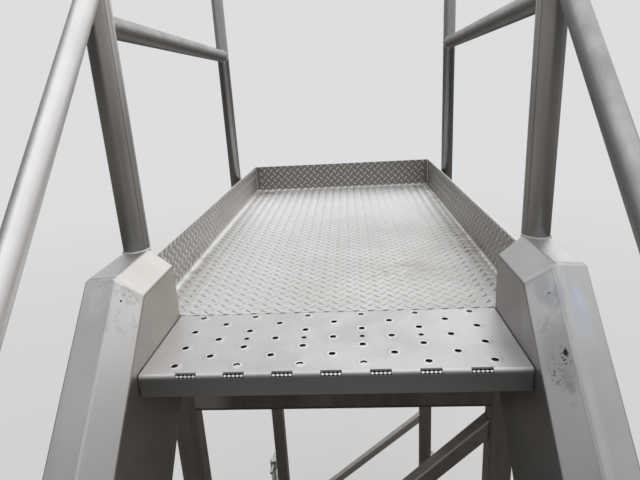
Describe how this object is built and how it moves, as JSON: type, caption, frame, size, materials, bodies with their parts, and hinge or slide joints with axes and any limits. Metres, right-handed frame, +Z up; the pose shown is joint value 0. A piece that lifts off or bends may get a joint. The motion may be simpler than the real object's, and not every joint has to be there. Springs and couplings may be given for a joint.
{
  "type": "mobile aircraft stairs",
  "caption": "Wheeled boarding stairs with perforated folded treads, a raised deck with kick plates, tube railings and screw stabilisers.",
  "frame": {"origin": "on the ground in the middle of the object's box", "axes": "+X to the right of a person walking up, +Y up the stairs towards the aircraft, +Z up from the ground"},
  "size_m": [0.992, 3.142, 3.0241],
  "materials": {
    "frame_steel": "pickled stainless steel, dull",
    "sheet_steel": "bead-blasted stainless sheet, satin",
    "tread_plate": "rolled stainless tread plate with raised bars",
    "tube_steel": "drawn stainless tube, satin",
    "tyre": "black rubber",
    "zinc": "zinc-plated steel"
  },
  "bodies": {
    "chassis": {"base_side_tubes": "frame_steel", "base_crossmembers": "frame_steel", "platform_legs": "frame_steel", "front_leg_beam": "frame_steel", "front_brace": "frame_steel", "rear_brace": "frame_steel", "deck_frame": "frame_steel", "deck_tray": "tread_plate", "stringer_left": "sheet_steel", "stringer_right": "sheet_steel", "top_tread": "sheet_steel", "lower_treads": "sheet_steel", "tread_cleats": "sheet_steel", "front_posts": "tube_steel", "platform_rail_left": "tube_steel", "platform_rail_right": "tube_steel", "rear_post_brackets": "tube_steel", "stair_rail_left": "tube_steel", "stair_rail_right": "tube_steel", "axle_brackets": "frame_steel", "castor_plates": "zinc", "jack_sleeves": "frame_steel", "foot_crossbar": "frame_steel", "tow_lug": "frame_steel"},
    "main_wheel_left": {"main_tyre_left": "tyre", "main_rim_left": "zinc"},
    "main_wheel_right": {"main_tyre_right": "tyre", "main_rim_right": "zinc"},
    "castor_left": {"castor_fork_left": "zinc"},
    "castor_right": {"castor_fork_right": "zinc"},
    "castor_wheel_left": {"castor_tyre_left": "tyre", "castor_hub_left": "zinc"},
    "castor_wheel_right": {"castor_tyre_right": "tyre", "castor_hub_right": "zinc"},
    "stabiliser_front_left": {"jack_front_left": "zinc"},
    "stabiliser_front_right": {"jack_front_right": "zinc"},
    "stabiliser_rear_left": {"jack_rear_left": "zinc"},
    "stabiliser_rear_right": {"jack_rear_right": "zinc"}
  },
  "joints": [
    {"name": "main_wheel_left_spin", "type": "hinge", "parent": "chassis", "child": "main_wheel_left", "pos_m": [-0.44, 1.136, 0.2], "axis": [-1, 0, 0], "continuous": true},
    {"name": "main_wheel_right_spin", "type": "hinge", "parent": "chassis", "child": "main_wheel_right", "pos_m": [0.44, 1.136, 0.2], "axis": [-1, 0, 0], "continuous": true},
    {"name": "castor_left_swivel", "type": "hinge", "parent": "chassis", "child": "castor_left", "pos_m": [-0.336, -0.944, 0.17], "axis": [0, 0, 1], "continuous": true},
    {"name": "castor_right_swivel", "type": "hinge", "parent": "chassis", "child": "castor_right", "pos_m": [0.336, -0.944, 0.17], "axis": [0, 0, 1], "continuous": true},
    {"name": "castor_wheel_left_spin", "type": "hinge", "parent": "castor_left", "child": "castor_wheel_left", "pos_m": [-0.336, -0.899, 0.08], "axis": [-1, 0, 0], "continuous": true},
    {"name": "castor_wheel_right_spin", "type": "hinge", "parent": "castor_right", "child": "castor_wheel_right", "pos_m": [0.336, -0.899, 0.08], "axis": [-1, 0, 0], "continuous": true},
    {"name": "stabiliser_front_left_lift", "type": "slide", "parent": "chassis", "child": "stabiliser_front_left", "axis": [0, 0, 1], "range_m": [0, 0.12]},
    {"name": "stabiliser_front_right_lift", "type": "slide", "parent": "chassis", "child": "stabiliser_front_right", "axis": [0, 0, 1], "range_m": [0, 0.12]},
    {"name": "stabiliser_rear_left_lift", "type": "slide", "parent": "chassis", "child": "stabiliser_rear_left", "axis": [0, 0, 1], "range_m": [0, 0.12]},
    {"name": "stabiliser_rear_right_lift", "type": "slide", "parent": "chassis", "child": "stabiliser_rear_right", "axis": [0, 0, 1], "range_m": [0, 0.12]}
  ]
}
